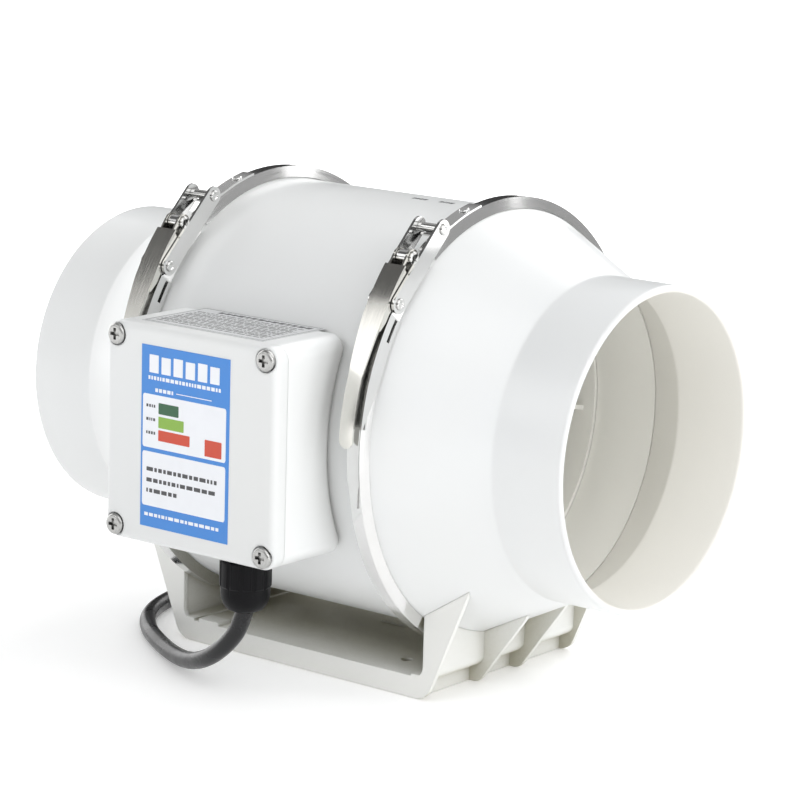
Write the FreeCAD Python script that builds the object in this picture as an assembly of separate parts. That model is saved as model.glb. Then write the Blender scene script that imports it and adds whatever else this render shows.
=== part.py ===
import FreeCAD, Part
import math
import os

# An inline duct fan for round duct. The fan's axis lies along X, with the inlet at -X and the outlet at +X.
# The terminal box faces -Y, and Z is up. The origin is on the floor, under the middle of the housing.
# All sizes are in millimetres and all angles in degrees.

V = FreeCAD.Vector
X_DIR = V(1, 0, 0)
Y_DIR = V(0, 1, 0)
Z_DIR = V(0, 0, 1)

# Housing
AXIS_Z = 118.0
SPIGOT_R = 73.5
SPIGOT_BORE_R = 70.3
SPIGOT_END_X = 154.1
CONE_END_X = 118.6
CONE_START_X = 71.5
BODY_R = 97.0
BODY_WALL = 3.0
JOINT_X = 66.4
SEAL_THICKNESS = 0.8
FLANGE_R = 101.5
FLANGE_ROOT_R = 97.8
FLANGE_ROOT_HALF = 3.6
FLANGE_TIP_HALF = 2.3

# Clamp band and its latch. Latch angles are measured from +Z towards -Y.
BAND_R = 102.8
BAND_FOOT_R = 97.8
BAND_TOP_HALF = 3.1
BAND_FOOT_HALF = 4.6
BAND_SHEET = 0.8
SPLIT_ANGLE = 35.7
SPLIT_HALF = 1.4
PLATE_R = 102.9
PLATE_SHEET = 1.0
HOOK_PIN = (108.5, 29.6)
LEVER_PIN = (109.3, 40.3)
LINK_PIN = (105.3, 51.9)
PIN_R = 2.0
PIN_PLAY = 0.05
LEVER_HALF = 5.5
LINK_IN = 5.9
LINK_OUT = 7.2
LINK_HALF_WIDTH = 4.3
LEVER_TIP_HALF = 3.6
RIVET_HEAD_R = 2.5

# Terminal box
BOX_HALF = 49.0
BOX_FRONT_Y = -126.7
LID_FRONT_Y = -134.9
BOX_WALL = 2.5
BOX_CORNER_R = 7.0
BOX_SCREW = 43.0
SADDLE_GAP = 0.1
LABEL_SHEET = 0.2

# Cable gland and cord
GLAND_X = 15.3
GLAND_Y = -113.0
GLAND_END_Z = 42.3
GLAND_NUT_R = 11.6
GLAND_DOME_R = 11.1
CORD_R = 4.0
COIL_CENTRE = V(-49.0, 115.0, 0.0)
COIL_MID_R = 42.35
COIL_LIFT = 0.6

# Mounting bracket
FOOT_LENGTH_HALF = 75.0
FOOT_DEPTH_HALF = 56.4
FRAME_SHEET = 2.5
RAIL_HEIGHT = 10.0
WINDOW_HALF = 71.6
WINDOW_CORNER_R = 5.0
FRAME_CORNER_R = 9.0
RIB_Y = 15.5
HOLE_X = 48.0
HOLE_Y = 37.5
HOLE_R = 2.75

# Fan and motor
BLADE_COUNT = 7
VANE_COUNT = 7
IMPELLER_IN_X = -44.0
IMPELLER_OUT_X = -4.0
HUB_R = 46.0
SHROUD_R = 78.0
SHAFT_R = 4.0
LUG_R = 89.0
RING_SCREWS = 4
RING_SCREW_ANGLE = 45.0
LEAD_X = 32.0
LEAD_R = 2.0
CASING_R = 42.0
MOTOR_START_X = 2.0
MOTOR_END_X = 48.5
STATOR_X = (13.0, 37.0)
STATOR_R = 40.0
STATOR_BORE_R = 22.5
ROTOR_R = 22.0
BEARING_R = 11.0
BEARING_WIDTH = 7.0


# ---------------------------------------------------------------- helpers

def turned(profile, start=0.0, sweep=360.0):
    """A ring about the fan's axis, from a closed outline of (x, radius). Angles go from +Z towards -Y."""
    points = [V(x, 0, AXIS_Z + r) for x, r in profile]
    face = Part.Face(Part.makePolygon(points + points[:1]))
    face.rotate(V(0, 0, AXIS_Z), X_DIR, start)
    return face.revolve(V(0, 0, AXIS_Z), X_DIR, sweep)


def ring(r_out, r_in, x_start, x_end):
    """A plain ring or, with no inner radius, a disc about the fan's axis."""
    if r_in == 0:
        return Part.makeCylinder(r_out, x_end - x_start, V(x_start, 0, AXIS_Z), X_DIR)
    return turned([(x_start, r_in), (x_end, r_in), (x_end, r_out), (x_start, r_out)])


def arc_plate(r_in, r_out, x_start, x_end, angle_start, angle_end):
    """A stretch of a ring about the fan's axis."""
    outline = [(x_start, r_in), (x_end, r_in), (x_end, r_out), (x_start, r_out)]
    return turned(outline, angle_start, angle_end - angle_start)


def polar(radius, angle, x=0.0):
    """The point at that radius and angle from the fan's axis."""
    a = math.radians(angle)
    return V(x, -radius * math.sin(a), AXIS_Z + radius * math.cos(a))


def slab_x(points, x_start, x_end):
    """A flat plate standing across X. Its outline is a list of points in the YZ plane."""
    flat = [V(x_start, p.y, p.z) for p in points]
    return Part.Face(Part.makePolygon(flat + flat[:1])).extrude(V(x_end - x_start, 0, 0))


def slab_y(points, y_start, y_end):
    """A flat plate standing across Y, from an outline of (x, z)."""
    flat = [V(x, y_start, z) for x, z in points]
    return Part.Face(Part.makePolygon(flat + flat[:1])).extrude(V(0, y_end - y_start, 0))


def block(x_start, x_end, y_start, y_end, z_start, z_end):
    return Part.makeBox(x_end - x_start, y_end - y_start, z_end - z_start, V(x_start, y_start, z_start))


def rod_x(radius, x_start, x_end, at):
    return Part.makeCylinder(radius, x_end - x_start, V(x_start, at.y, at.z), X_DIR)


def rod(radius, start, end):
    return Part.makeCylinder(radius, (end - start).Length, start, end - start)


def union(shapes):
    return shapes[0].multiFuse(shapes[1:]).removeSplitter()


def around_x(shape, count, first=0.0):
    """Copies of a shape, evenly spaced about the fan's axis."""
    copies = []
    for i in range(count):
        copy = shape.copy()
        copy.rotate(V(0, 0, AXIS_Z), X_DIR, first + 360.0 * i / count)
        copies.append(copy)
    return copies


def both_ends(shape):
    """A shape made at the outlet joint, and its copy at the inlet joint."""
    other = shape.copy()
    other.translate(V(-2 * JOINT_X, 0, 0))
    return [shape, other]


def mirrored_x(shape):
    return shape.mirror(V(0, 0, 0), X_DIR)


def facing(shape, point, direction):
    """A shape built along +Z from the origin, turned to a direction and set at a point."""
    turned_shape = shape.copy()
    turned_shape.Placement = FreeCAD.Placement(point, FreeCAD.Rotation(Z_DIR, direction))
    return turned_shape


def hexagon(across_flats, height, at):
    radius = across_flats / math.sqrt(3)
    corners = []
    for i in range(6):
        angle = math.radians(60 * i)
        corners.append(V(radius * math.cos(angle), radius * math.sin(angle), 0) + at)
    return Part.Face(Part.makePolygon(corners + corners[:1])).extrude(V(0, 0, height))


def pan_screw(head_r, head_height, shank_r, shank_length, cross=True):
    """A pan-head screw along Z, with its head above the origin and a cross recess in it."""
    head = Part.makeCylinder(head_r, head_height)
    upper = [e for e in head.Edges if e.CenterOfMass.z > head_height * 0.9]
    head = head.makeFillet(head_height * 0.55, upper)
    screw = head.fuse(Part.makeCylinder(shank_r, shank_length, V(0, 0, -shank_length)))
    if cross:
        arm = head_r * 0.55
        slot = head_r * 0.16
        depth = head_height * 0.6
        for x, y in ((arm, slot), (slot, arm)):
            screw = screw.cut(Part.makeBox(2 * x, 2 * y, depth, V(-x, -y, head_height - depth)))
    return screw.removeSplitter()


def save(name, shape):
    """Writes one node as its closed solids, and prints its volume."""
    pieces = shape if isinstance(shape, list) else [shape]
    solids = [solid for piece in pieces for solid in piece.Solids]
    whole = Part.makeCompound(solids) if len(solids) > 1 else solids[0]
    whole.exportStep("parts/" + name + ".step")
    print(name, len(solids), "solids", round(sum(s.Volume for s in solids)), "mm3", whole.isValid())


# ---------------------------------------------------------------- housing

def outer_radius(x):
    """The housing's outer radius at a distance x along the axis, without flanges."""
    far = abs(x)
    if far <= CONE_START_X:
        return BODY_R
    if far >= CONE_END_X:
        return SPIGOT_R
    return BODY_R + (SPIGOT_R - BODY_R) * (far - CONE_START_X) / (CONE_END_X - CONE_START_X)


def make_outlet_cone():
    face_x = JOINT_X + SEAL_THICKNESS / 2
    inner_r = BODY_R - BODY_WALL
    slope = (BODY_R - SPIGOT_R) / (CONE_END_X - CONE_START_X)
    wall = BODY_WALL * math.sqrt(1 + slope * slope)
    inner_start = CONE_START_X + (BODY_R - wall - inner_r) / slope
    inner_end = CONE_START_X + (BODY_R - wall - SPIGOT_BORE_R) / slope
    lip = 0.8
    return turned([
        (face_x, inner_r),
        (inner_start, inner_r),
        (inner_end, SPIGOT_BORE_R),
        (SPIGOT_END_X - lip, SPIGOT_BORE_R),
        (SPIGOT_END_X, SPIGOT_BORE_R + lip),
        (SPIGOT_END_X, SPIGOT_R - lip),
        (SPIGOT_END_X - lip, SPIGOT_R),
        (CONE_END_X, SPIGOT_R),
        (CONE_START_X, BODY_R),
        (JOINT_X + FLANGE_ROOT_HALF, FLANGE_ROOT_R),
        (JOINT_X + FLANGE_TIP_HALF, FLANGE_R),
        (face_x, FLANGE_R),
    ])


def make_centre_body():
    end_x = JOINT_X - SEAL_THICKNESS / 2
    inner_r = BODY_R - BODY_WALL
    root_x = JOINT_X - FLANGE_ROOT_HALF
    tip_x = JOINT_X - FLANGE_TIP_HALF
    body = turned([
        (-end_x, inner_r),
        (end_x, inner_r),
        (end_x, FLANGE_R),
        (tip_x, FLANGE_R),
        (root_x, FLANGE_ROOT_R),
        (root_x - 1.2, BODY_R),
        (-root_x + 1.2, BODY_R),
        (-root_x, FLANGE_ROOT_R),
        (-tip_x, FLANGE_R),
        (-end_x, FLANGE_R),
    ])
    lug = block(-8, 0, -4, 4, AXIS_Z + LUG_R - 4, AXIS_Z + inner_r + 1)
    lug = lug.common(ring(inner_r + 0.5, 0, -10, 2))
    return union([body] + around_x(lug, RING_SCREWS, RING_SCREW_ANGLE))


def make_seal():
    half = SEAL_THICKNESS / 2
    return ring(98.5, 94.5, JOINT_X - half, JOINT_X + half)


# ---------------------------------------------------------------- clamp band and latch, at the outlet joint

def make_band():
    slope = (BAND_FOOT_HALF - BAND_TOP_HALF) / (BAND_R - BAND_FOOT_R)
    step = BAND_SHEET * math.sqrt(1 + slope * slope)
    foot_in = BAND_FOOT_HALF - step
    top_in = foot_in - slope * (BAND_R - BAND_SHEET - BAND_FOOT_R)
    outline = [
        (-BAND_FOOT_HALF, BAND_FOOT_R),
        (-BAND_TOP_HALF, BAND_R),
        (BAND_TOP_HALF, BAND_R),
        (BAND_FOOT_HALF, BAND_FOOT_R),
        (foot_in, BAND_FOOT_R),
        (top_in, BAND_R - BAND_SHEET),
        (-top_in, BAND_R - BAND_SHEET),
        (-foot_in, BAND_FOOT_R),
    ]
    outline = [(JOINT_X + u, r) for u, r in outline]
    return turned(outline, SPLIT_ANGLE + SPLIT_HALF, 360 - 2 * SPLIT_HALF)


def make_latch_base():
    """The fixed half of the latch: a floor plate, two side walls, the curled tongue and the strap tail."""
    mid = JOINT_X
    top = PLATE_R + PLATE_SHEET
    pivot = polar(*LEVER_PIN)
    floor = arc_plate(PLATE_R, top, mid - 5.8, mid + 5.8, 54.8, 83)
    tongue = arc_plate(PLATE_R, top, mid - 2.7, mid + 2.7, 44.5, 56)
    tail = arc_plate(PLATE_R, top - 0.2, mid - 2.9, mid + 2.9, 82, 103)
    taper = block(mid - 3, mid + 3, -110, -90, AXIS_Z - 30, AXIS_Z + 20)
    for side in (-1, 1):
        tip = Part.makePolygon([
            V(mid + side * 2.9, -110, AXIS_Z - 12),
            V(mid + side * 0.9, -110, AXIS_Z - 24),
            V(mid + side * 4.0, -110, AXIS_Z - 31),
            V(mid + side * 4.0, -110, AXIS_Z - 12),
            V(mid + side * 2.9, -110, AXIS_Z - 12),
        ])
        taper = taper.cut(Part.Face(tip).extrude(V(0, 20, 0)))
    pieces = [floor, tongue, tail.common(taper)]
    ramp = [polar(96.5, 62), polar(104.9, 82.5), polar(104.9, 88), polar(90, 88), polar(90, 62)]
    for side in (-1, 1):
        near = mid + min(side * 4.8, side * 5.8)
        wall = arc_plate(98.2, 106.2, near, near + 1.0, 54.8, 83)
        slot = arc_plate(100.4, 102.3, near - 1, near + 2, 55.2, 61.2)
        pieces.append(wall.cut(slab_x(ramp, near - 1, near + 2)).cut(slot))
    curl_out = PIN_R + 1.2
    rise = [
        polar(PLATE_R, 46),
        polar(top, 46),
        polar(top + 0.7, 44),
        pivot + V(0, -2.6, -1.8),
        pivot + V(0, -0.6, -3.1),
        polar(PLATE_R, 43.6),
    ]
    neck = slab_x(rise, mid - 2.7, mid + 2.7)
    curl = rod_x(curl_out, mid - 2.7, mid + 2.7, pivot)
    whole = union(pieces + [neck, curl])
    return whole.cut(rod_x(PIN_R, mid - 4, mid + 4, pivot))


def make_hook_strap():
    """The strap on the other band end, with the open hook that catches the link pin from below."""
    mid = JOINT_X
    pin = polar(*HOOK_PIN)
    inner = 2.8
    outer = inner + PLATE_SHEET
    strap = arc_plate(PLATE_R, PLATE_R + PLATE_SHEET, mid - 3.4, mid + 3.4, 12, 25.4)
    rise = [
        polar(PLATE_R, 25.6),
        polar(PLATE_R, 24.0),
        polar(PLATE_R + PLATE_SHEET, 24.0),
        polar(HOOK_PIN[0] - inner, HOOK_PIN[1] + 0.1),
        polar(HOOK_PIN[0] - outer, HOOK_PIN[1] + 0.3),
    ]
    curl = rod_x(outer, mid - 3.4, mid + 3.4, pin).cut(rod_x(inner, mid - 4, mid + 4, pin))
    reach = 12.0
    kept = [pin + V(0, 0, 0)]
    for degrees in (225, 248, 276, 302):
        a = math.radians(degrees)
        kept.append(pin + V(0, reach * math.cos(a), reach * math.sin(a)))
    curl = curl.common(slab_x(kept, mid - 5, mid + 5))
    strap = union([strap, slab_x(rise, mid - 3.4, mid + 3.4), curl])
    return strap.cut(strap_rivet_hole())


def strap_rivet_hole():
    foot = polar(BAND_R - BAND_SHEET - 0.5, 16.6, JOINT_X)
    return rod(1.3, foot, polar(PLATE_R + 3, 16.6, JOINT_X))


def make_strap_rivet():
    """The rivet that holds the hook strap to the band."""
    out = polar(1, 16.6, JOINT_X) - polar(0, 16.6, JOINT_X)
    shank = rod(1.3, polar(BAND_R - BAND_SHEET, 16.6, JOINT_X), polar(PLATE_R + PLATE_SHEET, 16.6, JOINT_X))
    head = Part.makeCylinder(2.3, 0.9)
    head = head.makeFillet(0.6, [e for e in head.Edges if e.CenterOfMass.z > 0.8])
    return union([shank, facing(head, polar(PLATE_R + PLATE_SHEET, 16.6, JOINT_X), out)])


def make_lever():
    """The hand lever: a curved plate, its two side lips, and two ears that reach in to the fixed rivet."""
    mid = JOINT_X
    spine = [(112.3, 43.8), (110.9, 52.0), (109.5, 62.5), (109.3, 77.0), (108.8, 87.6)]
    outer = Part.BSplineCurve()
    outer.interpolate([polar(r, b) for r, b in spine])
    inner = Part.BSplineCurve()
    inner.interpolate([polar(r - PLATE_SHEET, b) for r, b in spine])
    first = Part.makeLine(outer.StartPoint, inner.StartPoint)
    last = Part.makeLine(outer.EndPoint, inner.EndPoint)
    outline = Part.Face(Part.Wire(Part.__sortEdges__([outer.toShape(), last, inner.toShape(), first])))
    outline.translate(V(mid - LEVER_HALF, 0, 0))
    plate = outline.extrude(V(2 * LEVER_HALF, 0, 0))
    tip_z = polar(108.8, 87.6).z
    tip = Part.makeCylinder(LEVER_TIP_HALF, 20, V(mid, -118, tip_z + LEVER_TIP_HALF), Y_DIR)
    wide_z = polar(109.5, 57).z
    narrow_z = polar(109.5, 72).z
    taper = slab_y([
        (mid - 8, AXIS_Z + 100),
        (mid - 8, wide_z),
        (mid - LEVER_HALF, wide_z),
        (mid - LEVER_TIP_HALF, narrow_z),
        (mid - LEVER_TIP_HALF, tip_z + LEVER_TIP_HALF),
        (mid + LEVER_TIP_HALF, tip_z + LEVER_TIP_HALF),
        (mid + LEVER_TIP_HALF, narrow_z),
        (mid + LEVER_HALF, wide_z),
        (mid + 8, wide_z),
        (mid + 8, AXIS_Z + 100),
    ], -118, -60)
    plate = plate.common(union([tip, taper]))
    pivot = polar(*LEVER_PIN)
    pin = polar(*LINK_PIN)
    lip = [polar(111.7, 44.4), polar(110.4, 52), polar(109.6, 57), polar(109.2, 60), polar(108.4, 60)]
    lip = lip + [polar(107.0, 57.5), polar(107.0, 54.5), polar(103.6, 50), polar(105.6, 45)]
    ear = [polar(111.9, 44.0), polar(111.0, 48.5), polar(106.2, 48.5), polar(105.8, 42), polar(113.0, 41.2)]
    joggle = [polar(111.4, 46.2), polar(111.0, 48.5), polar(106.2, 48.5), polar(105.8, 46.2)]
    pieces = [plate]
    for side in (-1, 1):
        wall_x = mid + min(side * 4.5, side * 5.5)
        ear_x = mid + min(side * 3.0, side * 4.0)
        joggle_x = mid + min(side * 3.0, side * 5.5)
        pieces.append(slab_x(lip, wall_x, wall_x + 1.0))
        pieces.append(rod_x(3.9, wall_x, wall_x + 1.0, pin))
        pieces.append(slab_x(ear, ear_x, ear_x + 1.0))
        pieces.append(rod_x(3.9, ear_x, ear_x + 1.0, pivot))
        pieces.append(slab_x(joggle, joggle_x, joggle_x + 2.5))
    lever = union(pieces)
    for at in (pivot, pin):
        lever = lever.cut(rod_x(PIN_R + PIN_PLAY, mid - 9, mid + 9, at))
    return lever


def rivet_head(radius, height, x_face, side, at):
    """A low rolled rivet head, dished in its middle, on a face across X."""
    head = Part.makeCylinder(radius, height)
    head = head.makeFillet(height * 0.5, [e for e in head.Edges if e.CenterOfMass.z > height * 0.9])
    head = head.cut(Part.makeCone(radius * 0.35, radius * 0.6, height * 0.5, V(0, 0, height * 0.5)))
    return facing(head, V(x_face, at.y, at.z), V(side, 0, 0))


def make_lever_pin():
    """The fixed rivet that the lever turns on."""
    mid = JOINT_X
    pivot = polar(*LEVER_PIN)
    pieces = [rod_x(PIN_R, mid - 4.2, mid + 4.2, pivot)]
    for side in (-1, 1):
        pieces.append(rivet_head(2.9, 1.0, mid + side * 4.2, side, pivot))
    return union(pieces)


def make_links():
    """Two round-ended bars between the link pins."""
    mid = JOINT_X
    low = polar(*LINK_PIN)
    high = polar(*HOOK_PIN)
    along = (high - low).normalize()
    across = V(0, -along.z, along.y) * LINK_HALF_WIDTH
    bars = []
    for side in (-1, 1):
        near = mid + min(side * LINK_IN, side * LINK_OUT)
        far = near + LINK_OUT - LINK_IN
        bar = union([
            slab_x([low + across, high + across, high - across, low - across], near, far),
            rod_x(LINK_HALF_WIDTH, near, far, low),
            rod_x(LINK_HALF_WIDTH, near, far, high),
        ])
        for at in (low, high):
            bar = bar.cut(rod_x(PIN_R, near - 1, far + 1, at))
        bars.append(bar)
    return bars


def make_link_pins():
    """The through pin that sits in the hook, and the two short rivets that carry the links on the lever."""
    mid = JOINT_X
    low = polar(*LINK_PIN)
    high = polar(*HOOK_PIN)
    through = [rod_x(PIN_R, mid - LINK_OUT, mid + LINK_OUT, high)]
    solids = []
    for side in (-1, 1):
        start = mid + min(side * 3.6, side * LINK_OUT)
        stub = rod_x(PIN_R, start, start + LINK_OUT - 3.6, low)
        inside = rivet_head(2.7, 0.8, mid + side * 4.4, -side, low)
        solids.append(union([stub, inside, rivet_head(RIVET_HEAD_R, 1.0, mid + side * LINK_OUT, side, low)]))
        through.append(rivet_head(RIVET_HEAD_R, 1.0, mid + side * LINK_OUT, side, high))
    return solids + [union(through)]


# ---------------------------------------------------------------- terminal box

def rounded_prism(half, corner_r, y_start, y_end):
    """A square prism along Y, centred on the fan's axis height, with round corners."""
    shape = block(-half, half, y_start, y_end, AXIS_Z - half, AXIS_Z + half)
    long_edges = [e for e in shape.Edges if abs(e.BoundBox.YLength - (y_end - y_start)) < 0.01]
    return shape.makeFillet(corner_r, long_edges)


def box_corners():
    return [(x, AXIS_Z + z) for x in (-BOX_SCREW, BOX_SCREW) for z in (-BOX_SCREW, BOX_SCREW)]


def make_terminal_box():
    outer = rounded_prism(BOX_HALF, BOX_CORNER_R, BOX_FRONT_Y, -60)
    outer = outer.cut(ring(BODY_R + SADDLE_GAP, 0, -60, 60))
    cylinder_r = BODY_R + SADDLE_GAP
    rear = [e for e in outer.Edges if on_cylinder(e, cylinder_r)]
    outer = outer.makeFillet(4.0, rear)
    cavity = rounded_prism(BOX_HALF - BOX_WALL, BOX_CORNER_R - BOX_WALL, BOX_FRONT_Y - 1, -60)
    cavity = cavity.cut(ring(cylinder_r + BOX_WALL, 0, -60, 60))
    for x, z in box_corners():
        cavity = cavity.cut(Part.makeCylinder(4.8, 80, V(x, -130, z), Y_DIR))
    shell = outer.cut(cavity)
    for x, z in box_corners():
        shell = shell.cut(Part.makeCylinder(2.0, 20, V(x, BOX_FRONT_Y - 1, z), Y_DIR))
    shell = shell.cut(Part.makeCylinder(8.0, 10, V(GLAND_X, GLAND_Y, AXIS_Z - BOX_HALF - 2), Z_DIR))
    shell = shell.cut(rod(LEAD_R + 0.6, V(LEAD_X, -90, AXIS_Z), V(LEAD_X, -105, AXIS_Z)))
    return shell


def on_cylinder(edge, radius):
    """True for an edge that lies on a cylinder about the fan's axis."""
    for i in range(5):
        u = edge.FirstParameter + (edge.LastParameter - edge.FirstParameter) * i / 4.0
        p = edge.valueAt(u)
        if abs(math.hypot(p.y, p.z - AXIS_Z) - radius) > 0.01:
            return False
    return True


def gasket_ring():
    outer = rounded_prism(BOX_HALF - 0.8, BOX_CORNER_R - 0.8, BOX_FRONT_Y - 1.0, BOX_FRONT_Y)
    inner = rounded_prism(BOX_HALF - 1.8, BOX_CORNER_R - 1.8, BOX_FRONT_Y - 2.0, BOX_FRONT_Y + 1)
    return outer.cut(inner)


def make_terminal_lid():
    lid = rounded_prism(BOX_HALF, BOX_CORNER_R, LID_FRONT_Y, BOX_FRONT_Y)
    front = [e for e in lid.Edges if abs(e.CenterOfMass.y - LID_FRONT_Y) < 0.01]
    lid = lid.makeFillet(3.0, front)
    inner_half = BOX_HALF - BOX_WALL
    inner_corner_r = BOX_CORNER_R - BOX_WALL
    hollow = rounded_prism(inner_half, inner_corner_r, LID_FRONT_Y + BOX_WALL, BOX_FRONT_Y + 1)
    for x, z in box_corners():
        hollow = hollow.cut(Part.makeCylinder(5.2, 12, V(x, LID_FRONT_Y, z), Y_DIR))
    lid = lid.cut(hollow).cut(gasket_ring())
    for x, z in box_corners():
        lid = lid.cut(Part.makeCylinder(2.0, 20, V(x, LID_FRONT_Y - 1, z), Y_DIR))
        lid = lid.cut(Part.makeCylinder(5.3, 1.2, V(x, LID_FRONT_Y, z), Y_DIR))
    return lid


def make_lid_screws():
    screw = pan_screw(4.75, 2.6, 2.0, 18)
    return [facing(screw, V(x, LID_FRONT_Y + 1.2, z), V(0, -1, 0)) for x, z in box_corners()]


def make_box_screws():
    """Four screws from inside the terminal box into the centre body."""
    screws = []
    seat = BODY_R + SADDLE_GAP + BOX_WALL
    for x, angle in ((-40, 90), (40, 90), (-14, 90 - 22.4), (-14, 90 + 22.4)):
        out = polar(1, angle) - polar(0, angle)
        screws.append(facing(pan_screw(3.4, 2.2, 1.5, 8), polar(seat, angle, x), out))
    return screws


def make_terminal_block():
    left = -6.0
    length = 34.0
    body = block(left, left + length, -117, -95, AXIS_Z - 24, AXIS_Z - 9)
    body = body.cut(ring(BODY_R + SADDLE_GAP + BOX_WALL, 0, -60, 60))
    for i in range(4):
        x = left + length * (i + 0.5) / 4
        body = body.cut(Part.makeCylinder(2.6, 5, V(x, -118, AXIS_Z - 16.5), Y_DIR))
    for i in range(3):
        x = left + length * (i + 1.0) / 4
        body = body.cut(block(x - 0.6, x + 0.6, -118, -112, AXIS_Z - 25, AXIS_Z - 8))
    return body


def make_capacitor():
    body = block(-43, -9, -120, -100.5, AXIS_Z + 7, AXIS_Z + 33)
    return body.makeFillet(1.5, body.Edges)


def make_front_label():
    half_height = 40.7
    centre_x = -2.1
    label = block(centre_x - 25.6, centre_x + 25.6, LID_FRONT_Y - LABEL_SHEET, LID_FRONT_Y,
                  AXIS_Z - half_height, AXIS_Z + half_height)
    return label


def make_rating_label():
    top = AXIS_Z + BOX_HALF
    return block(-36, 34.5, -126.5, -84.5, top, top + LABEL_SHEET)


# ---------------------------------------------------------------- cable gland

def vertical_turned(profile, x, y):
    """A ring about a vertical line, from a closed outline of (radius, z)."""
    points = [V(x + r, y, z) for r, z in profile]
    return Part.Face(Part.makePolygon(points + points[:1])).revolve(V(x, y, 0), Z_DIR, 360)


def make_gland_body():
    wall_z = AXIS_Z - BOX_HALF
    flange = hexagon(21, 3, V(GLAND_X, GLAND_Y, wall_z - 3))
    upper = Part.makeCylinder(8.0, 9, V(GLAND_X, GLAND_Y, wall_z), Z_DIR)
    lower = Part.makeCylinder(8.6, 12, V(GLAND_X, GLAND_Y, wall_z - 15), Z_DIR)
    bore = Part.makeCylinder(CORD_R, 40, V(GLAND_X, GLAND_Y, wall_z - 20), Z_DIR)
    return union([flange, upper, lower]).cut(bore)


def make_gland_nut():
    """The domed nut. Its outside has twelve shallow grip flats."""
    top_z = AXIS_Z - BOX_HALF - 3.5
    mouth_r = 5.6
    dome_z = 51.0
    dome = []
    for i in range(13):
        turn = math.radians(7.5 * i)
        across = (GLAND_DOME_R - mouth_r) * math.cos(turn)
        dome.append((mouth_r + across, dome_z - (dome_z - GLAND_END_Z) * math.sin(turn)))
    nut = vertical_turned([
        (8.6, top_z),
        (GLAND_NUT_R - 0.5, top_z),
        (GLAND_NUT_R, top_z - 0.8),
        (GLAND_NUT_R, dome_z + 3.0),
        (GLAND_DOME_R, dome_z + 2.2),
        *dome,
        (CORD_R, GLAND_END_Z),
        (CORD_R, 45.5),
        (7.0, 47.5),
        (7.0, 53.6),
        (8.6, 54.0),
    ], GLAND_X, GLAND_Y)
    for i in range(12):
        angle = math.radians(30 * i)
        centre = V(GLAND_X + 12.5 * math.cos(angle), GLAND_Y + 12.5 * math.sin(angle), 49.5)
        nut = nut.cut(Part.makeCylinder(1.5, 30, centre, Z_DIR))
    return nut


def make_gland_seal():
    return vertical_turned([(CORD_R, 47.5), (7.0, 47.5), (7.0, 53.6), (CORD_R, 53.6)], GLAND_X, GLAND_Y)


def make_gland_locknut():
    wall_z = AXIS_Z - BOX_HALF + BOX_WALL
    nut = hexagon(21, 4, V(GLAND_X, GLAND_Y, wall_z))
    return nut.cut(Part.makeCylinder(8.0, 10, V(GLAND_X, GLAND_Y, wall_z - 1), Z_DIR))


# ---------------------------------------------------------------- cord

def cord_route():
    """The free cord's route, from the gland to the coil."""
    return [
        V(GLAND_X, GLAND_Y, GLAND_END_Z),
        V(13.2, -113.5, 34.5),
        V(8.6, -114.2, 27.4),
        V(1.8, -114.2, 21.0),
        V(-7.2, -112.0, 15.3),
        V(-18.5, -107.0, 10.5),
        V(-32.0, -99.5, 6.8),
        V(-48.0, -90.0, 4.4),
        V(-66.0, -79.5, 4.0),
        V(-85.0, -66.5, 4.0),
        V(-102.0, -48.5, 4.0),
        V(-113.0, -25.0, 4.0),
        V(-117.0, 2.0, 4.0),
        V(-118.0, 26.0, 4.0),
        V(-114.5, 50.0, 4.0),
        V(-107.5, 72.0, 4.2),
        V(-99.5, 93.0, 4.6),
        V(-95.35, 114.0, 4.6),
    ]


def tail_route():
    """The cord's last stretch, from the coil's top turn down to the plug."""
    start = COIL_CENTRE + V(0, COIL_MID_R + CORD_R, COIL_LIFT + 3 * CORD_R)
    return [start, start + V(11, 0.2, -0.4), start + V(22, 1.4, -1.9), start + V(32, 3.6, -3.6)]


def bent_tube(points, radius):
    """A round tube along straight runs that tangent arcs join, and the arcs' radii."""
    arcs = []
    radii = []
    for a, b, c in zip(points, points[1:], points[2:]):
        before = (a - b)
        after = (c - b)
        turn = math.pi - before.getAngle(after)
        shorter = min(before.Length, after.Length)
        bend = 0.45 * shorter / math.tan(turn / 2)
        radii.append(bend)
        before.normalize()
        after.normalize()
        middle = (before + after).normalize()
        enter = b + before * (0.45 * shorter)
        leave = b + after * (0.45 * shorter)
        depth = bend / math.cos(turn / 2) - bend
        arcs.append((enter, b + middle * depth, leave))
    edges = []
    here = points[0]
    for enter, over, leave in arcs:
        edges.append(Part.LineSegment(here, enter).toShape())
        edges.append(Part.Arc(enter, over, leave).toShape())
        here = leave
    edges.append(Part.LineSegment(here, points[-1]).toShape())
    path = Part.Wire(edges)
    disc = Part.Wire(Part.makeCircle(radius, points[0], points[1] - points[0]))
    tube = path.makePipeShell([disc], True, False)
    expected = math.pi * radius * radius * path.Length
    print("tube length", round(path.Length, 1), "volume ratio", round(tube.Volume / expected, 4))
    print("arc radii", [round(r, 1) for r in radii])
    return tube


def make_power_cord():
    """The free cord. It leaves the gland at a slant, so its end is cut level with the gland's mouth."""
    route = cord_route()
    lead_in = (route[0] - route[1]).normalize() * 1.5
    tube = bent_tube([route[0] + lead_in] + route[1:], CORD_R)
    return tube.cut(block(0, 30, -130, -95, GLAND_END_Z, GLAND_END_Z + 10))


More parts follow.
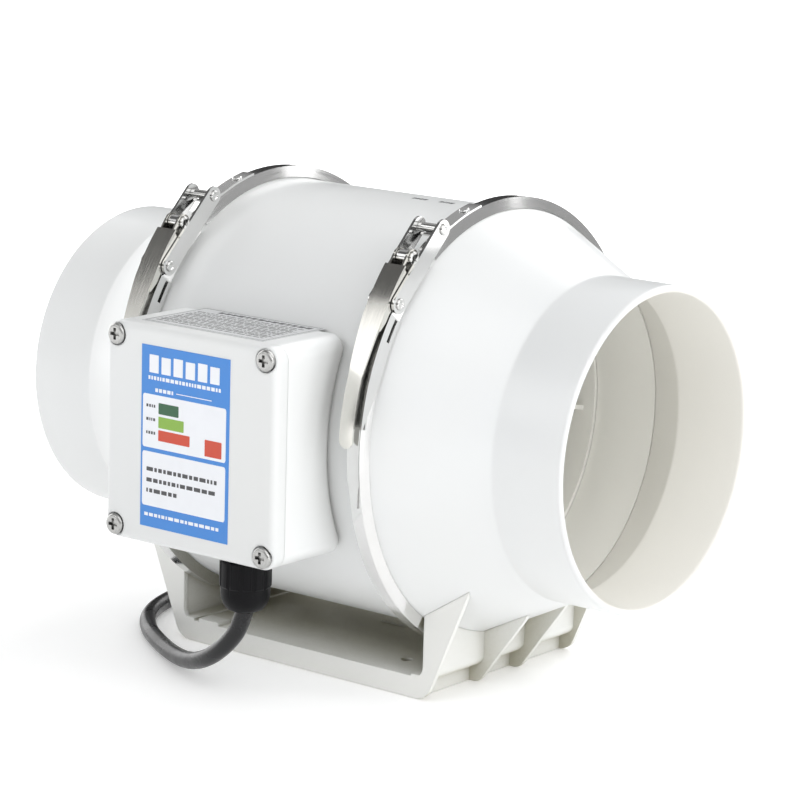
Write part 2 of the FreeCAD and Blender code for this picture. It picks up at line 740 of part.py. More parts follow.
def make_cord_coil(free_tube, tail_tube):
    """The outer shape of the wound coil, two turns wide and two turns high."""
    r_out = COIL_MID_R + 2 * CORD_R
    r_in = COIL_MID_R - 2 * CORD_R
    height = 4 * CORD_R
    base = COIL_CENTRE + V(0, 0, COIL_LIFT)
    coil = Part.makeCylinder(r_out, height, base).cut(Part.makeCylinder(r_in, height + 2, base - V(0, 0, 1)))
    return coil.cut(free_tube).cut(tail_tube).cut(make_cord_tie())


def make_cord_tie():
    """A flat tie round all the turns, on the coil's right side."""
    sheet = 0.6
    r_in = COIL_MID_R - 2 * CORD_R
    r_out = COIL_MID_R + 2 * CORD_R
    cx, cy = COIL_CENTRE.x, COIL_CENTRE.y
    outer = block(cx + r_in - sheet, cx + r_out + sheet, cy - 5, cy + 5, 0, COIL_LIFT + 4 * CORD_R + sheet)
    inner = block(cx + r_in, cx + r_out, cy - 6, cy + 6, COIL_LIFT, COIL_LIFT + 4 * CORD_R)
    return outer.cut(inner)


def make_power_plug():
    """A moulded two-pin plug with a tapered strain relief, lying flat on the floor."""
    rear = tail_route()[-1]
    relief = Part.makeCone(CORD_R + 1.0, 6.2, 20, rear, X_DIR)
    body = block(rear.x + 19, rear.x + 49, rear.y - 13, rear.y + 13, 0, 2 * rear.z)
    body = body.makeFillet(3.5, [e for e in body.Edges if e.BoundBox.XLength > 1])
    return union([relief, body])


def make_plug_pins():
    rear = tail_route()[-1]
    pins = []
    for side in (-1, 1):
        start = V(rear.x + 49, rear.y + side * 9.5, rear.z)
        pin = rod(2.4, start, start + V(18, 0, 0))
        pins.append(pin.makeFillet(1.2, [e for e in pin.Edges if e.CenterOfMass.x > rear.x + 66.9]))
    return pins


def make_cord_inner_end():
    """The cord's end inside the gland and the terminal box, with two cores up to the terminal block."""
    sheath = Part.makeCylinder(CORD_R, 44, V(GLAND_X, GLAND_Y, GLAND_END_Z), Z_DIR)
    cores = []
    for side in (-1, 1):
        start = V(GLAND_X + 2.1 * side, GLAND_Y, GLAND_END_Z + 43)
        cores.append(rod(1.3, start, V(start.x, GLAND_Y + 2, AXIS_Z - 24.4)))
    return union([sheath] + cores)


# ---------------------------------------------------------------- mounting bracket

def housing_envelope():
    """The housing's outer shape, filled, that the bracket's plates fit against."""
    return turned([
        (-SPIGOT_END_X, 0),
        (SPIGOT_END_X, 0),
        (SPIGOT_END_X, SPIGOT_R),
        (CONE_END_X, SPIGOT_R),
        (CONE_START_X, BODY_R),
        (-CONE_START_X, BODY_R),
        (-CONE_END_X, SPIGOT_R),
        (-SPIGOT_END_X, SPIGOT_R),
    ])


def make_bracket():
    depth = FOOT_DEPTH_HALF
    half = FOOT_LENGTH_HALF
    top = 60
    corner = []
    for i in range(8):
        a = math.radians(-90 + 68.2 * i / 7)
        corner.append((half - 7.3 + FRAME_CORNER_R * math.cos(a), FRAME_CORNER_R * (1 + math.sin(a))))
    left_corner = [(-x, z) for x, z in reversed(corner)]
    frame_outline = corner + [(98.2, top), (-98.2, top)] + left_corner
    window = block(-WINDOW_HALF, WINDOW_HALF, -80, 80, RAIL_HEIGHT, top + 5)
    low_edges = [e for e in window.Edges
                 if e.BoundBox.YLength > 100 and e.CenterOfMass.z < RAIL_HEIGHT + 1]
    window = window.makeFillet(WINDOW_CORNER_R, low_edges)
    rib_outline = [(62, 0), (71.0, 0), (73.2, 0.6), (75.2, 2.4), (85.7, 17), (97.5, 33), (112, top), (62, top)]
    pieces = []
    for y in (-depth, depth - FRAME_SHEET):
        pieces.append(slab_y(frame_outline, y, y + FRAME_SHEET).cut(window))
    web = web_outline(top)
    wall_middle = [(66.5, -1), (66.5, 8.5), (69.0, 9.6), (71.0, 9.8), (73.0, 10.5), (74.5, 13.2), (74.5, top + 5)]
    rib_room = slab_y(wall_middle + [(130, top + 5), (130, -1)], -depth, depth)
    for side in (1, -1):
        pieces.append(slab_y([(side * x, z) for x, z in web], -depth, depth))
        for y in (-RIB_Y, RIB_Y):
            rib = slab_y(rib_outline, y - FRAME_SHEET / 2, y + FRAME_SHEET / 2).common(rib_room)
            pieces.append(rib if side > 0 else mirrored_x(rib))
    pieces.append(block(-67, 67, -depth, depth, 7, RAIL_HEIGHT))
    pieces.append(block(-62, -50, -depth, -48, RAIL_HEIGHT - 1, RAIL_HEIGHT + 1.6))
    pieces.append(block(0, 15, 4, 5.5, RAIL_HEIGHT - 1, RAIL_HEIGHT + 0.8))
    for x in (-HOLE_X, HOLE_X):
        for y in (-HOLE_Y, HOLE_Y):
            pieces.append(Part.makeCylinder(6.5, 8, V(x, y, 0), Z_DIR))
    bracket = union(pieces).cut(housing_envelope())
    for x in (-HOLE_X, HOLE_X):
        for y in (-HOLE_Y, HOLE_Y):
            bracket = bracket.cut(Part.makeCylinder(HOLE_R, 20, V(x, y, -1), Z_DIR))
    return bracket.cut(Part.makeCompound(make_bracket_screws()))


def web_outline(top):
    """The bracket's end wall: an upright wall, a ledge with a soft inner corner and a strip below it."""
    bend = V(71.0, 13.2, 0)
    outer = [(68.0, 0), (68.0, 7.3), (68.8, 8.1)]
    inner = []
    for i in range(7):
        a = math.radians(-90 + 15 * i)
        outer.append((bend.x + 5.0 * math.cos(a), bend.y + 5.0 * math.sin(a)))
        inner.append((bend.x + 2.0 * math.cos(a), bend.y + 2.0 * math.sin(a)))
    return outer + [(76.0, top), (73.0, top)] + inner[::-1] + [(65.0, 10.9), (65.0, 0)]


def make_bracket_screws():
    """Four screws from inside the cones into the bracket's end walls."""
    screws = []
    for side in (-1, 1):
        x = side * 74.5
        seat = outer_radius(x) - BODY_WALL - 1.0
        for angle in (180 - 22, 180 + 22):
            out = polar(1, angle) - polar(0, angle)
            screw = pan_screw(2.8, 1.8, 1.2, 15, False)
            screws.append(facing(screw, polar(seat, angle, x), out * -1))
    return screws


# ---------------------------------------------------------------- fan and motor



def make_bellmouth():
    """The curved intake ring in front of the impeller."""
    sheet = 2.0
    throat_r = 63.5
    rim_r = BODY_R - BODY_WALL - 0.2
    curve = []
    back = []
    for i in range(9):
        a = math.radians(90.0 * i / 8)
        curve.append((IMPELLER_IN_X - 20.0 * math.cos(a), throat_r + 24.0 * (1 - math.sin(a))))
        back.append((IMPELLER_IN_X - 18.0 * math.cos(a), throat_r + sheet + 22.0 * (1 - math.sin(a))))
    return turned([(-64.0, rim_r)] + curve + back[::-1] + [(-62.0, rim_r)])


def make_impeller_shroud():
    """The conical wall round the impeller's blade tips."""
    inside = [(-44.0, 63.5), (-4.0, 77.2), (0.0, SHROUD_R)]
    outside = [(0.0, SHROUD_R + 2), (-4.0, 79.2), (-44.0, 65.5)]
    return turned(inside + outside)


def make_stator_shroud():
    """The straight air guide round the vanes, with the flange that holds it in the body."""
    rim_r = BODY_R - BODY_WALL - 0.2
    inside = [(0, SHROUD_R), (66, SHROUD_R)]
    outside = [(66, SHROUD_R + 2), (3, SHROUD_R + 2), (3, rim_r), (0, rim_r)]
    shroud = turned(inside + outside)
    hole = rod(1.5, V(-1, 0, AXIS_Z + LUG_R), V(4, 0, AXIS_Z + LUG_R))
    for tool in around_x(hole, RING_SCREWS, RING_SCREW_ANGLE):
        shroud = shroud.cut(tool)
    return shroud.cut(lead_hole())


def lead_hole():
    return rod(LEAD_R, V(LEAD_X, -38, AXIS_Z), V(LEAD_X, -112, AXIS_Z))


def make_ring_screws():
    screw = facing(pan_screw(3.0, 2.0, 1.5, 9), V(3, 0, AXIS_Z + LUG_R), X_DIR)
    return around_x(screw, RING_SCREWS, RING_SCREW_ANGLE)


def make_outlet_liner():
    """A smooth sleeve that carries the air from the vane ring to the outlet cone."""
    return turned([(66.2, 80.0), (99.6, 78.7), (99.6, 79.3), (97.0, 80.6), (94.0, 81.8), (66.2, 82.2)])


def swept_blade(x_start, x_end, lean_in, lean_out, bow, half_sheet, r_in, r_out):
    """A thin curved blade. It leans round the axis by lean_in at its root and lean_out at its tip."""
    wires = []
    for radius, lean in ((r_in, lean_in), (r_out, lean_out)):
        near = []
        far = []
        for t in (0.0, 0.5, 1.0):
            x = x_start + (x_end - x_start) * t
            y = lean * (t - 0.5) + bow * (1 - (2 * t - 1) ** 2)
            near.append(V(x, y - half_sheet, AXIS_Z + radius))
            far.append(V(x, y + half_sheet, AXIS_Z + radius))
        sides = []
        for points in (near, far[::-1]):
            curve = Part.BSplineCurve()
            curve.interpolate(points)
            sides.append(curve.toShape())
        caps = [Part.makeLine(near[-1], far[-1]), Part.makeLine(far[0], near[0])]
        wires.append(Part.Wire([sides[0], caps[0], sides[1], caps[1]]))
    return Part.makeLoft(wires, True, True)


def make_impeller_blades():
    channel = turned([
        (IMPELLER_IN_X, 26.0), (IMPELLER_OUT_X, HUB_R), (IMPELLER_OUT_X, 76.2), (IMPELLER_IN_X, 62.5),
    ])
    blade = swept_blade(-46, -2, 34, 52, 5, 1.1, 15, 84).common(channel)
    return around_x(blade, BLADE_COUNT)


def make_impeller_hub():
    cup = turned([
        (-52.0, SHAFT_R), (-52.0, 17.0), (-50.0, 22.0), (IMPELLER_IN_X, 26.0), (IMPELLER_OUT_X, HUB_R),
        (IMPELLER_OUT_X, HUB_R - 2.5), (-36.0, 27.5), (-36.0, 10.0), (-12.0, 10.0), (-12.0, SHAFT_R),
    ])
    return cup


def make_impeller_nut():
    nut = hexagon(13, 6, V(0, 0, 0))
    nut = facing(nut, V(-58, 0, AXIS_Z), X_DIR)
    return nut.cut(rod(SHAFT_R, V(-59, 0, AXIS_Z), V(-50, 0, AXIS_Z)))


def make_guide_vanes():
    channel = ring(SHROUD_R, HUB_R, 4, 60)
    vane = swept_blade(2, 62, -20, -30, -4, 1.1, 34, 86).common(channel)
    return around_x(vane, VANE_COUNT, 266.5 - 11.0)


def make_motor_mount():
    """The drum that carries the motor inside the vanes."""
    drum = turned([(0, CASING_R), (50, CASING_R), (50, HUB_R), (0, HUB_R)])
    return drum.cut(lead_hole())


def make_motor_casing():
    front = MOTOR_START_X
    casing = turned([
        (front, BEARING_R), (front, CASING_R), (MOTOR_END_X - 2.5, CASING_R), (MOTOR_END_X - 2.5, STATOR_R),
        (front + 2.5, STATOR_R), (front + 2.5, BEARING_R + 3), (front + BEARING_WIDTH, BEARING_R + 3),
        (front + BEARING_WIDTH, BEARING_R),
    ])
    return casing.cut(lead_hole())


def make_motor_end_cap():
    end = MOTOR_END_X
    return turned([
        (end, 0), (end, CASING_R), (end - 2.5, CASING_R), (end - 2.5, BEARING_R + 3),
        (end - 1.5 - BEARING_WIDTH, BEARING_R + 3), (end - 1.5 - BEARING_WIDTH, BEARING_R),
        (end - 1.5, BEARING_R), (end - 1.5, 0),
    ])


def make_bearings():
    front = ring(BEARING_R, SHAFT_R + PIN_PLAY, MOTOR_START_X, MOTOR_START_X + BEARING_WIDTH)
    rear = ring(BEARING_R, SHAFT_R + PIN_PLAY, MOTOR_END_X - 1.5 - BEARING_WIDTH, MOTOR_END_X - 1.5)
    return [front, rear]


def make_stator_core():
    core = ring(STATOR_R, STATOR_BORE_R, STATOR_X[0], STATOR_X[1])
    slot = block(STATOR_X[0] - 1, STATOR_X[1] + 1, -1.2, 1.2, AXIS_Z + STATOR_BORE_R - 1, AXIS_Z + 34)
    for tool in around_x(slot, 16):
        core = core.cut(tool)
    return core


def make_windings():
    rings = []
    for start in (STATOR_X[0] - 6, STATOR_X[1]):
        outline = [(start, 26), (start + 2, 24), (start + 4, 24), (start + 6, 26)]
        outline = outline + [(start + 6, 34), (start + 4, 36), (start + 2, 36), (start, 34)]
        rings.append(turned(outline))
    return rings


def make_rotor():
    return ring(ROTOR_R, SHAFT_R, STATOR_X[0], STATOR_X[1])


def make_shaft():
    return ring(SHAFT_R, 0, -60, MOTOR_END_X - 2)


def make_tail_cone():
    start = 50.0
    outer = []
    inner = []
    for i in range(8):
        a = math.radians(90.0 * i / 8)
        outer.append((start + 22.0 * math.sin(a), HUB_R * math.cos(a)))
        inner.append((start + 20.0 * math.sin(a), (HUB_R - 2) * math.cos(a)))
    return turned(outer + [(start + 22.0, 0), (start + 20.0, 0)] + inner[::-1])


def make_motor_leads():
    """The sheathed wires from the motor, across the air path and into the terminal box."""
    start = V(LEAD_X, -CASING_R + 2, AXIS_Z)
    corner = V(LEAD_X, -110, AXIS_Z)
    end = V(LEAD_X, -110, AXIS_Z - 12)
    return union([rod(LEAD_R, start, corner), Part.makeSphere(LEAD_R, corner), rod(LEAD_R, corner, end)])


# ---------------------------------------------------------------- the whole fan

def main():
    os.makedirs("parts", exist_ok=True)
    box_screws = Part.makeCompound(make_box_screws())
    ring_screws = Part.makeCompound(make_ring_screws())
    bracket_screws = Part.makeCompound(make_bracket_screws())
    outlet_cone = make_outlet_cone().cut(bracket_screws)
    inlet_cone = mirrored_x(make_outlet_cone()).cut(bracket_screws)
    body = make_centre_body().cut(box_screws).cut(ring_screws)
    save("centre_body", body.cut(rod(LEAD_R + 0.6, V(LEAD_X, -90, AXIS_Z), V(LEAD_X, -105, AXIS_Z))))
    save("outlet_cone", outlet_cone)
    save("inlet_cone", inlet_cone)
    save("flange_seals", both_ends(make_seal()))
    save("strap_rivets", both_ends(make_strap_rivet()))
    save("lever_rivets", both_ends(make_lever_pin()))

    latch = {
        "clamp_band": make_band().cut(strap_rivet_hole()),
        "latch_base": make_latch_base(),
        "hook_strap": make_hook_strap(),
        "lever": make_lever(),
        "links": Part.makeCompound(make_links()),
        "link_pins": Part.makeCompound(make_link_pins()),
    }
    for name, shape in latch.items():
        at_outlet, at_inlet = both_ends(shape)
        save("outlet_" + name, at_outlet)
        save("inlet_" + name, at_inlet)

    save("terminal_box", make_terminal_box().cut(box_screws))
    save("terminal_lid", make_terminal_lid())
    save("lid_gasket", gasket_ring())
    save("lid_screws", make_lid_screws())
    save("box_screws", make_box_screws())
    save("terminal_block", make_terminal_block())
    save("capacitor", make_capacitor())
    save("front_label", make_front_label())
    save("rating_label", make_rating_label())

    save("gland_body", make_gland_body())
    save("gland_nut", make_gland_nut())
    save("gland_seal", make_gland_seal())
    save("gland_locknut", make_gland_locknut())

    tube = make_power_cord()
    save("power_cord", tube)
    tail = bent_tube(tail_route(), CORD_R)
    save("cord_coil", make_cord_coil(tube, tail))
    save("cord_tail", tail)
    save("cord_tie", make_cord_tie())
    save("power_plug", make_power_plug().cut(tail))
    save("plug_pins", make_plug_pins())
    save("cord_inner_end", make_cord_inner_end())

    save("mounting_bracket", make_bracket())
    save("bracket_screws", make_bracket_screws())

    save("intake_bellmouth", make_bellmouth())
    save("impeller_shroud", make_impeller_shroud())
    save("stator_shroud", make_stator_shroud())
    save("ring_screws", make_ring_screws())
    save("outlet_liner", make_outlet_liner())
    save("guide_vanes", make_guide_vanes())
    save("motor_mount", make_motor_mount())
    save("motor_casing", make_motor_casing())
    save("motor_end_cap", make_motor_end_cap())
    save("motor_bearings", make_bearings())
    save("stator_core", make_stator_core())
    save("stator_windings", make_windings())
    save("tail_cone", make_tail_cone())
    save("motor_leads", make_motor_leads())
    save("motor_rotor", make_rotor())
    save("motor_shaft", make_shaft())
    save("impeller_hub", make_impeller_hub())
    save("impeller_blades", make_impeller_blades())
    save("impeller_nut", make_impeller_nut())


main()
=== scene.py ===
import math
import random

import bmesh
import bpy
from mathutils import Matrix, Vector


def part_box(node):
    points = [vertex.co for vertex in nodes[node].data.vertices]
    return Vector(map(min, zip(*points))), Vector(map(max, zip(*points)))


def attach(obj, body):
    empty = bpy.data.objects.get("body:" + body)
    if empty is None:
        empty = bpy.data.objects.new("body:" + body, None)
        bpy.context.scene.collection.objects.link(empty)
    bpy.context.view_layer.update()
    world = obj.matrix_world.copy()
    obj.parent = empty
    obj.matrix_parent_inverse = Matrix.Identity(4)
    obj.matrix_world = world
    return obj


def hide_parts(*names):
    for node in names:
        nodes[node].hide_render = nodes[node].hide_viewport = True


# The looks of an inline duct fan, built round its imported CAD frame. All lengths are in metres.
# The fan's axis lies along X at AXIS_Z, the terminal box faces -Y, and Z is up.

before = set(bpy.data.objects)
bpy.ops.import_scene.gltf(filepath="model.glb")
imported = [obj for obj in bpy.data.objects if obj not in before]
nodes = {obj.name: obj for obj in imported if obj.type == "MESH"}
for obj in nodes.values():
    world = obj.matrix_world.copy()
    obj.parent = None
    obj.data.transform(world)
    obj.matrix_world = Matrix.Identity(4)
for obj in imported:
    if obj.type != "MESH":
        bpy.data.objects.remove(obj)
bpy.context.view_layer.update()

MM = 0.001
AXIS_Z = 0.118
BODY_R = 0.097
BODY_MARK_X = ((0.0165, 0.0255), (0.0320, 0.0405))
LID_FRONT_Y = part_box("terminal_lid")[0].y
BOX_TOP_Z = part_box("terminal_box")[1].z


# ---------------------------------------------------------------- camera, light and floor

def make_camera():
    azimuth = math.radians(38.0)
    elevation = math.radians(11.81)
    roll = math.radians(1.646)
    forward = Vector((-math.sin(azimuth) * math.cos(elevation), math.cos(azimuth) * math.cos(elevation),
                      -math.sin(elevation)))
    level_right = Vector((math.cos(azimuth), math.sin(azimuth), 0))
    level_up = level_right.cross(forward)
    right = level_right * math.cos(roll) + level_up * math.sin(roll)
    up = level_up * math.cos(roll) - level_right * math.sin(roll)
    data = bpy.data.cameras.new("camera")
    data.sensor_width = 36
    data.lens = 143.69
    data.clip_start = 0.05
    data.clip_end = 50
    camera = bpy.data.objects.new("camera", data)
    axes = Matrix((right, up, -forward)).transposed().to_4x4()
    camera.matrix_world = Matrix.Translation((0.9037, -1.1434, 0.4228)) @ axes
    bpy.context.scene.collection.objects.link(camera)
    bpy.context.scene.camera = camera


def area_light(name, location, aim, size, power, colour=(1, 1, 1)):
    data = bpy.data.lights.new(name, "AREA")
    data.shape = "RECTANGLE"
    data.size = size[0]
    data.size_y = size[1]
    data.energy = power
    data.color = colour
    light = bpy.data.objects.new(name, data)
    light.location = location
    light.rotation_euler = (Vector(aim) - Vector(location)).to_track_quat("-Z", "Y").to_euler()
    bpy.context.scene.collection.objects.link(light)


# Dark zones of the studio: direction, the cosines of the angles inside which a zone is full and outside
# which it ends, and how bright it is compared with the rest.
WALL_ZONES = (
    ((-0.60, -0.30, 0.74), 0.975, 0.90, 0.30),
    ((-0.60, 0.77, 0.20), 0.985, 0.93, 0.12),
    ((0.75, -0.60, 0.15), 0.95, 0.85, 0.30),
)
WALL_GREY = 0.42
FLOOR_GLOW_NEAR = 0.27
FLOOR_GLOW_FAR = 0.9
FLOOR_GLOW_START = 0.35
FLOOR_GLOW_END = 1.5
FLOOR_HALF = 6.0


def make_world():
    """A pale studio with a few dark flags, which give polished steel something to mirror."""
    world = bpy.data.worlds.new("studio")
    bpy.context.scene.world = world
    world.use_nodes = True
    tree = world.node_tree
    background = tree.nodes["Background"]
    background.inputs["Strength"].default_value = WALL_GREY
    coords = tree.nodes.new("ShaderNodeTexCoord")
    shade = None
    for direction, full, none, brightness in WALL_ZONES:
        dot = tree.nodes.new("ShaderNodeVectorMath")
        dot.operation = "DOT_PRODUCT"
        dot.inputs[1].default_value = Vector(direction).normalized()
        tree.links.new(coords.outputs["Generated"], dot.inputs[0])
        fade = tree.nodes.new("ShaderNodeMapRange")
        fade.interpolation_type = "SMOOTHSTEP"
        numbers = (("From Min", none), ("From Max", full), ("To Min", 1.0), ("To Max", brightness))
        for name, number in numbers:
            fade.inputs[name].default_value = number
        tree.links.new(dot.outputs["Value"], fade.inputs["Value"])
        if shade is None:
            shade = fade.outputs["Result"]
        else:
            both = tree.nodes.new("ShaderNodeMath")
            both.operation = "MULTIPLY"
            tree.links.new(shade, both.inputs[0])
            tree.links.new(fade.outputs["Result"], both.inputs[1])
            shade = both.outputs[0]
    tree.links.new(shade, background.inputs["Color"])


def make_floor():
    mesh = bpy.data.meshes.new("floor")
    half = FLOOR_HALF
    corners = [(-half, -half, 0), (half, -half, 0), (half, half, 0), (-half, half, 0)]
    mesh.from_pydata(corners, [], [(0, 1, 2, 3)])
    floor = bpy.data.objects.new("floor", mesh)
    floor.location.z = -0.0002
    bpy.context.scene.collection.objects.link(floor)
    material = bpy.data.materials.new("floor_white")
    material.use_nodes = True
    shader = material.node_tree.nodes["Principled BSDF"]
    shader.inputs["Base Color"].default_value = (0.86, 0.86, 0.86, 1)
    shader.inputs["Roughness"].default_value = 0.7
    shader.inputs["Emission Color"].default_value = (1, 1, 1, 1)
    tree = material.node_tree
    geometry = tree.nodes.new("ShaderNodeNewGeometry")
    distance = tree.nodes.new("ShaderNodeVectorMath")
    distance.operation = "LENGTH"
    tree.links.new(geometry.outputs["Position"], distance.inputs[0])
    glow = tree.nodes.new("ShaderNodeMapRange")
    glow.interpolation_type = "SMOOTHSTEP"
    numbers = (("From Min", FLOOR_GLOW_START), ("From Max", FLOOR_GLOW_END),
               ("To Min", FLOOR_GLOW_NEAR), ("To Max", FLOOR_GLOW_FAR))
    for name, number in numbers:
        glow.inputs[name].default_value = number
    tree.links.new(distance.outputs["Value"], glow.inputs["Value"])
    tree.links.new(glow.outputs["Result"], shader.inputs["Emission Strength"])
    mesh.materials.append(material)


LIGHTS = (
    ("key", (1.1, -0.6, 1.5), (2.0, 2.0), 17.0),
    ("side", (1.7, 0.1, 0.45), (1.5, 1.6), 10.8),
    ("front_left", (-0.9, -1.7, 1.2), (1.2, 1.0), 5.2),
    ("back", (0.2, 1.6, 1.4), (2.4, 1.8), 26.0),
    ("left", (-1.8, 0.1, 0.6), (2.0, 1.6), 16.0),
    ("low", (0.7, -2.0, 0.35), (1.6, 0.7), 0.3),
)


def make_stage():
    make_world()
    make_floor()
    for name, location, size, power in LIGHTS:
        area_light(name, location, (0, 0, 0.11), size, power)
    bpy.context.scene.view_settings.view_transform = "Standard"
    bpy.context.scene.view_settings.look = "None"


# ---------------------------------------------------------------- material tools

class Surface:
    """A principled material that is built up from small steps."""

    def __init__(self, name, colour, roughness, metallic=0.0, coat=0.0, specular=0.5):
        self.material = bpy.data.materials.new(name)
        self.material.use_nodes = True
        self.tree = self.material.node_tree
        self.shader = self.tree.nodes["Principled BSDF"]
        self.shader.inputs["Base Color"].default_value = (*colour, 1)
        self.shader.inputs["Roughness"].default_value = roughness
        self.shader.inputs["Metallic"].default_value = metallic
        self.shader.inputs["Coat Weight"].default_value = coat
        self.shader.inputs["Coat Roughness"].default_value = 0.12
        self.shader.inputs["Specular IOR Level"].default_value = specular
        self.colour = (*colour, 1)
        self.height = None

    def node(self, kind, **settings):
        made = self.tree.nodes.new(kind)
        for key, value in settings.items():
            setattr(made, key, value)
        return made

    def link(self, output, target):
        self.tree.links.new(output, target)

    def position(self, scale=(1, 1, 1)):
        coords = self.node("ShaderNodeTexCoord")
        mapping = self.node("ShaderNodeMapping")
        mapping.inputs["Scale"].default_value = scale
        self.link(coords.outputs["Object"], mapping.inputs["Vector"])
        return mapping.outputs["Vector"]

    def noise(self, scale, detail=3.0, stretch=(1, 1, 1), rough=0.5):
        noise = self.node("ShaderNodeTexNoise")
        noise.inputs["Scale"].default_value = scale
        noise.inputs["Detail"].default_value = detail
        noise.inputs["Roughness"].default_value = rough
        self.link(self.position(stretch), noise.inputs["Vector"])
        return noise.outputs["Fac"]

    def math(self, operation, a, b=0.0, clamp=False):
        made = self.node("ShaderNodeMath", operation=operation, use_clamp=clamp)
        for socket, value in zip(made.inputs, (a, b)):
            if isinstance(value, (int, float)):
                socket.default_value = value
            else:
                self.link(value, socket)
        return made.outputs[0]

    def spread(self, value, low, high, to_low, to_high):
        made = self.node("ShaderNodeMapRange")
        self.link(value, made.inputs["Value"])
        numbers = (("From Min", low), ("From Max", high), ("To Min", to_low), ("To Max", to_high))
        for name, number in numbers:
            made.inputs[name].default_value = number
        return made.outputs["Result"]

    def tint(self, factor, colour):
        """Mixes another colour into the base colour by a factor from 0 to 1."""
        mix = self.node("ShaderNodeMix", data_type="RGBA")
        colours = [s for s in mix.inputs if s.type == "RGBA"]
        before = self.shader.inputs["Base Color"]
        if before.is_linked:
            self.link(before.links[0].from_socket, colours[0])
        else:
            colours[0].default_value = self.colour
        colours[1].default_value = (*colour, 1)
        self.link(factor, mix.inputs["Factor"])
        result = [s for s in mix.outputs if s.type == "RGBA"][0]
        self.link(result, before)
        return self

    def rough(self, value):
        self.link(value, self.shader.inputs["Roughness"])
        return self

    def bump(self, value, distance, strength=1.0):
        made = self.node("ShaderNodeBump")
        made.inputs["Distance"].default_value = distance
        made.inputs["Strength"].default_value = strength
        self.link(value, made.inputs["Height"])
        if self.height is not None:
            self.link(self.height, made.inputs["Normal"])
        self.height = made.outputs["Normal"]
        self.link(self.height, self.shader.inputs["Normal"])
        return self

    def soften(self, radius):
        """Shades the piece's edges and valleys as if they were rounded."""
        bevel = self.node("ShaderNodeBevel", samples=6)
        bevel.inputs["Radius"].default_value = radius
        self.height = bevel.outputs["Normal"]
        self.link(self.height, self.shader.inputs["Normal"])
        return self

    def faces_axis(self):
        """1 on surfaces that look towards the fan's axis, 0 on those that look away from it."""
        place = self.node("ShaderNodeSeparateXYZ")
        normal = self.node("ShaderNodeSeparateXYZ")
        self.link(self.position(), place.inputs[0])
        self.link(self.node("ShaderNodeTexCoord").outputs["Normal"], normal.inputs[0])
        height = self.math("SUBTRACT", place.outputs["Z"], AXIS_Z)
        outward = self.math("ADD", self.math("MULTIPLY", height, normal.outputs["Z"]),
                            self.math("MULTIPLY", place.outputs["Y"], normal.outputs["Y"]))
        return self.math("MULTIPLY", outward, -200.0, clamp=True)

    def crevice_shade(self, reach, darkest, open_from=0.85):
        """A factor that grows where other surfaces are close by, for painted shade in corners, gaps and
        recesses.
        """
        shade = self.node("ShaderNodeAmbientOcclusion", samples=10)
        shade.inputs["Distance"].default_value = reach
        return self.spread(shade.outputs["AO"], 0.1, open_from, darkest, 0.0)


def moulded(name, colour, roughness=0.38, coat=0.15, grain=0.00002, warm=(0.80, 0.79, 0.74), edge=0.0):
    """Injection-moulded plastic: faint mottling, slow sink waves and a fine skin grain."""
    surface = Surface(name, colour, roughness, coat=coat)
    if edge:
        surface.soften(edge)
    mottle = surface.spread(surface.noise(9, 4), 0.35, 0.75, 0.0, 0.22)
    surface.tint(mottle, warm)
    surface.rough(surface.spread(surface.noise(38, 3), 0.3, 0.7, roughness - 0.05, roughness + 0.07))
    surface.bump(surface.noise(7, 1), 0.00025, 0.5)
    surface.bump(surface.noise(2600, 2), grain)
    return surface


def brushed(name, colour, roughness, stretch, metallic=1.0):
    """Rolled or brushed steel, with fine lines along the directions that stretch keeps low."""
    surface = Surface(name, colour, roughness, metallic=metallic)
    lines = surface.noise(1.0, 4, stretch, 0.65)
    surface.rough(surface.spread(lines, 0.3, 0.7, roughness - 0.04, roughness + 0.06))
    smudge = surface.spread(surface.noise(45, 3), 0.45, 0.8, 0.0, 0.25)
    surface.tint(smudge, tuple(c * 0.72 for c in colour))
    surface.bump(lines, 0.000004, 0.6)
    surface.bump(surface.noise(60, 2), 0.00010, 0.3)
    return surface


def printed(name, colour, roughness, metallic=0.0):
    """Printed film: even ink with a faint unevenness and a slightly wavy, glossy skin."""
    surface = Surface(name, colour, roughness, metallic=metallic, coat=0.1)
    worn = surface.spread(surface.noise(160, 4), 0.45, 0.8, 0.0, 0.18)
    surface.tint(worn, tuple(0.8 * c + 0.04 for c in colour))
    surface.bump(surface.noise(35, 2), 0.00006, 0.5)
    return surface


